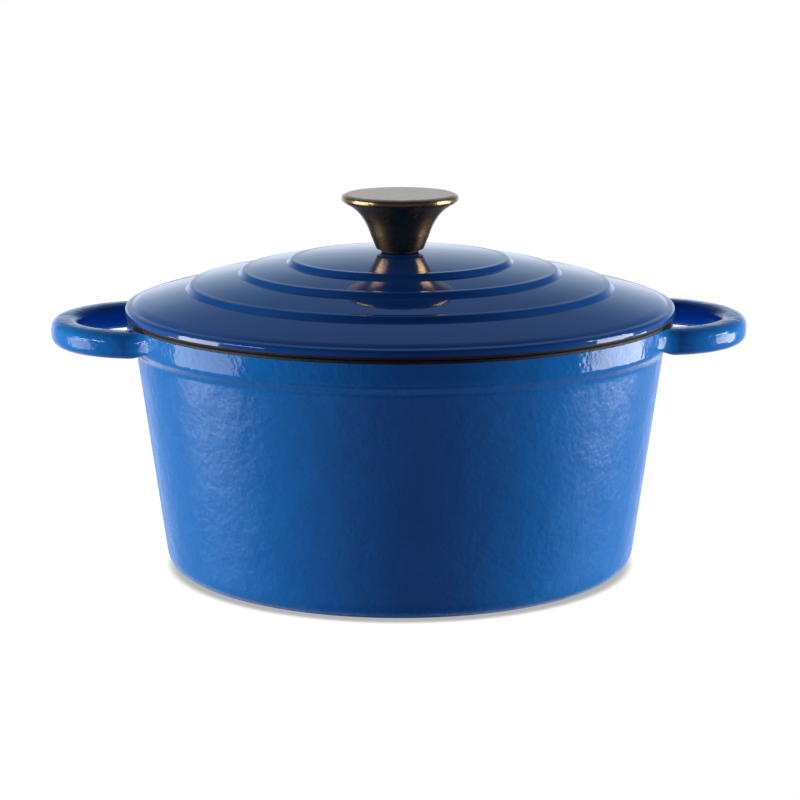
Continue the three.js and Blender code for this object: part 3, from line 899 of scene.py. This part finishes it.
def pot_zone(radius, height):
    """0 is the blue outside, 1 the bare rim and foot, with the outer rim band reaching down into painted
    shade under the lid, 2 the pale inside.
    """
    inside = (radius < inner_wall(height) + 1.4 * MM) & (height > BASE_THICKNESS - 1 * MM)
    # The outer rim band is bare iron at the top and painted shade further down.
    rim = (height > POT_HEIGHT - RIM_BAND) | (inside & (height > POT_HEIGHT - RIM_BAND_INSIDE))
    foot = height < FOOT_BAND
    return np.where(rim | foot, 1, np.where(inside, 2, 0))


def lid_zone(radius, height):
    """0 is the blue top, 1 the bare seat and locating ring, with the lower edge above the seat painted black
    as shade, 2 the pale underside.
    """
    seat = LID_SEAT + LID_BARE_AND_SHADE
    ring_inside = inner_wall(LID_LOW.z) - BARE_RING_REACH
    below = height < dome(np.minimum(radius, LID_RADIUS)) - 2 * MM
    # Above the bare seat, the black band up the lid's edge is painted shade.
    bare = (height < seat) & (radius > ring_inside)
    return np.where(bare, 1, np.where(below & (radius < ring_inside + 2 * MM), 2, 0))


pot = united(pot_shell(), [handle_loop("handle_right", 1), handle_loop("handle_left", -1)])
pot.data.materials.clear()
paint(pot, [POT_BLUE, BARE, PALE], pot_zone)

lid = lid_shell()
paint(lid, [LID_BLUE_PAINTED_DARKER, BARE, PALE], lid_zone)

knob = knob_shell()
top_start = KNOB_HIGH.z - KNOB_TOP_ZONE
paint(knob, [aged_brass(), brushed_top()], lambda radius, height: (height > top_start) * 1)

gasket = washer("knob_gasket_rubber", GASKET_LOW, GASKET_HIGH, 0.25 * MM)
paint(gasket, [black_rubber()])
flat_washer = washer("flat_washer_steel", FLAT_LOW, FLAT_HIGH, 0.2 * MM)
paint(flat_washer, [stainless("washer_steel", 1)])
spring_washer = spring_washer_shell()
paint(spring_washer, [stainless("spring_steel", 4)])
screw = screw_shell()
paint(screw, [stainless("screw_steel", 7)])

for piece, body, node, slot in (
    (pot, "pot", "pot_casting", "pot_enamel"),
    (lid, "lid", "lid_casting", "lid_enamel"),
    (knob, "lid", "knob", "aged_brass"),
    (gasket, "lid", "knob_gasket", "black_rubber"),
    (flat_washer, "lid", "flat_washer", "stainless_washer"),
    (spring_washer, "lid", "spring_washer", "stainless_washer"),
    (screw, "lid", "knob_screw", "stainless_screw"),
):
    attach(piece, body)
    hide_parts(node)

# ---------------------------------------------------------------- camera

CAMERA_TURN = math.radians(-2.1)
CAMERA_RISE = math.radians(11.577)
CAMERA_DISTANCE = 1.2368
AIM = Vector((0, 0, 0.0761))
LENS, SENSOR_WIDTH = 119.2, 36  # mm
NEAREST, FARTHEST = 0.05, 100

camera_data = bpy.data.cameras.new("camera")
camera_data.sensor_width = SENSOR_WIDTH
camera_data.lens = LENS
camera_data.clip_start, camera_data.clip_end = NEAREST, FARTHEST
camera = bpy.data.objects.new("camera", camera_data)
back = Vector(
    (
        math.sin(CAMERA_TURN) * math.cos(CAMERA_RISE),
        -math.cos(CAMERA_TURN) * math.cos(CAMERA_RISE),
        math.sin(CAMERA_RISE),
    )
)
camera.location = AIM + back * CAMERA_DISTANCE
camera.rotation_euler = (-back).to_track_quat("-Z", "Y").to_euler()
bpy.context.scene.collection.objects.link(camera)
bpy.context.scene.camera = camera

# ---------------------------------------------------------------- floor, light and surroundings

FLOOR_SIZE = 12  # from its middle to each side
FLOOR_DROP = 0.2 * MM  # below the pot's foot
PAINTED_SHADOW_REACH = 4.5 * MM  # painted shadow: the floor's glow darkens within this of the foot


def floor():
    """A pale glowing floor, dimmed near the foot as a painted contact shadow. Only the camera sees it, so the
    enamel doesn't mirror it, and it is clear from below.
    """
    mesh = bpy.data.meshes.new("floor")
    corners = [(x * FLOOR_SIZE, y * FLOOR_SIZE, 0) for x, y in ((-1, -1), (1, -1), (1, 1), (-1, 1))]
    mesh.from_pydata(corners, [], [(0, 1, 2, 3)])
    plane = bpy.data.objects.new("floor", mesh)
    plane.location.z = -FLOOR_DROP
    bpy.context.scene.collection.objects.link(plane)
    material = bpy.data.materials.new("floor")
    material.use_nodes = True
    tree = material.node_tree
    tree.nodes.clear()
    add = tree.nodes.new
    # Painted contact shadow: ambient occlusion dims the floor's glow near the foot.
    painted_contact_shadow = add("ShaderNodeAmbientOcclusion")
    painted_contact_shadow.samples = 8
    painted_contact_shadow.inputs["Distance"].default_value = PAINTED_SHADOW_REACH
    fade = add("ShaderNodeMapRange")
    fade.inputs["From Min"].default_value = 0.35
    fade.inputs["From Max"].default_value = 0.95
    fade.inputs["To Min"].default_value = 0.45
    glow = add("ShaderNodeEmission")
    clear = add("ShaderNodeBsdfTransparent")
    side = add("ShaderNodeNewGeometry")
    choose = add("ShaderNodeMixShader")
    out = add("ShaderNodeOutputMaterial")
    tree.links.new(painted_contact_shadow.outputs["AO"], fade.inputs["Value"])
    tree.links.new(fade.outputs[0], glow.inputs["Strength"])
    tree.links.new(side.outputs["Backfacing"], choose.inputs[0])
    tree.links.new(glow.outputs[0], choose.inputs[1])
    tree.links.new(clear.outputs[0], choose.inputs[2])
    tree.links.new(choose.outputs[0], out.inputs[0])
    mesh.materials.append(material)
    plane.visible_diffuse = False
    plane.visible_glossy = False
    plane.visible_transmission = False
    plane.visible_shadow = False


def soft_box(name, azimuth, height, width, tall, distance, power, mirrored=True):
    """A rectangular light facing the pot, power in watts. Azimuth is counted from the front towards the
    right, in degrees. One that isn't mirrored lights the pot without showing in its gloss."""
    data = bpy.data.lights.new(name, "AREA")
    data.shape = "RECTANGLE"
    data.size, data.size_y = width, tall
    data.energy = power
    light = bpy.data.objects.new(name, data)
    angle = math.radians(azimuth)
    light.location = (math.sin(angle) * distance, -math.cos(angle) * distance, height)
    inwards = Vector((-light.location.x, -light.location.y, 0))
    light.rotation_euler = inwards.to_track_quat("-Z", "Y").to_euler()
    light.visible_glossy = mirrored
    bpy.context.scene.collection.objects.link(light)


def surroundings():
    """The light around the pot, by direction: bright low down behind it, grey above, and dark in front but
    for a dim glow below and a fainter one above. The camera sees white."""
    world = bpy.data.worlds.new("studio")
    world.use_nodes = True
    bpy.context.scene.world = world
    nodes = Nodes(world.node_tree)
    nodes.tree.nodes.clear()
    place = nodes.add("ShaderNodeTexCoord")
    split = nodes.add("ShaderNodeSeparateXYZ")
    nodes.link(place.outputs["Generated"], split.inputs[0])
    x, y, z = split.outputs
    behind = nodes.math("DIVIDE", y, nodes.math("MAXIMUM", nodes.distance(x, y), 0.001))
    backwards = nodes.math("MULTIPLY_ADD", behind, 0.5, 0.5)
    upwards = nodes.math("MULTIPLY_ADD", z, 0.5, 0.5)
    round_about = nodes.ramp(
        backwards,
        [
            (0.0, (0.10, 0.04, 0.10)),
            (0.33, (0.09, 0.05, 0.10)),
            (0.45, (0.35, 0.38, 0.42)),
            (0.6, (0.45, 0.5, 0.56)),
            (0.68, (0.33, 0.36, 0.41)),
            (0.8, (0.28, 0.31, 0.36)),
            (0.9, (0.43, 0.48, 0.56)),
            (0.97, (1.0, 1.13, 1.35)),
        ],
    )
    up_down = nodes.ramp(
        upwards,
        [
            (0.0, 0.6),
            (0.3, 0.9),
            (0.52, 1.0),
            (0.58, (0.62, 0.68, 0.73)),
            (0.6125, (0.47, 0.56, 0.62)),
            (0.64, (0.33, 0.42, 0.52)),
            (0.674, (0.22, 0.31, 0.42)),
            (0.717, (0.16, 0.24, 0.36)),
            (0.815, (0.18, 0.27, 0.42)),
            (1.0, (0.04, 0.05, 0.07)),
        ],
    )
    right_behind = nodes.ramp(backwards, [(0.982, 0.0), (0.992, 1.0)])
    low = nodes.ramp(upwards, [(0.44, 1.0), (0.475, 0.0)])
    both = nodes.math("MULTIPLY", right_behind, low)
    table_edge = nodes.ramp(both, [(0.0, 1.0), (1.0, 0.12)])
    light = nodes.blend("MULTIPLY", nodes.blend("MULTIPLY", round_about, up_down), table_edge)
    in_front = nodes.ramp(backwards, [(0.12, 1.0), (0.34, 0.0)])
    table, wall = (0.22, 0.17, 0.27), (0.03, 0.07, 0.05)
    for stops in (
        [(0.17, 0.0), (0.25, table), (0.31, table), (0.38, 0.0)],
        [(0.53, 0.0), (0.57, wall), (0.68, wall), (0.76, 0.0)],
    ):
        glow = nodes.blend("MULTIPLY", in_front, nodes.ramp(upwards, stops))
        light = nodes.blend("ADD", light, glow)
    studio = nodes.add("ShaderNodeBackground")
    nodes.link(light, studio.inputs["Color"])
    white = nodes.add("ShaderNodeBackground")
    white.inputs["Color"].default_value = (1, 1, 1, 1)
    path = nodes.add("ShaderNodeLightPath")
    choose = nodes.add("ShaderNodeMixShader")
    out = nodes.add("ShaderNodeOutputWorld")
    nodes.link(path.outputs["Is Camera Ray"], choose.inputs[0])
    nodes.link(studio.outputs[0], choose.inputs[1])
    nodes.link(white.outputs[0], choose.inputs[2])
    nodes.link(choose.outputs[0], out.inputs["Surface"])


floor()
surroundings()
soft_box(
    "left_low_box", azimuth=-88, height=-0.14, width=0.78, tall=0.44, distance=1.2, power=4.9
)
soft_box(
    "left_high_box", azimuth=-102, height=0.28, width=0.78, tall=0.4, distance=1.2, power=5.0, mirrored=False
)
soft_box(
    "right_low_box", azimuth=96, height=-0.1, width=0.75, tall=0.32, distance=1.2, power=6.3
)
soft_box(
    "right_high_box", azimuth=96, height=0.22, width=0.75, tall=0.34, distance=1.2, power=6.5, mirrored=False
)
soft_box(
    "left_strip", azimuth=-77, height=0.31, width=0.95, tall=0.07, distance=1.2, power=4.4
)
soft_box(
    "right_strip", azimuth=88, height=0.31, width=0.5, tall=0.07, distance=1.2, power=2.6
)
soft_box(
    "left_line", azimuth=-88, height=0.14, width=0.5, tall=0.12, distance=1.25, power=1.8
)
soft_box(
    "right_line", azimuth=92, height=0.14, width=0.5, tall=0.12, distance=1.25, power=1.8
)

bpy.context.scene.view_settings.view_transform = "Standard"
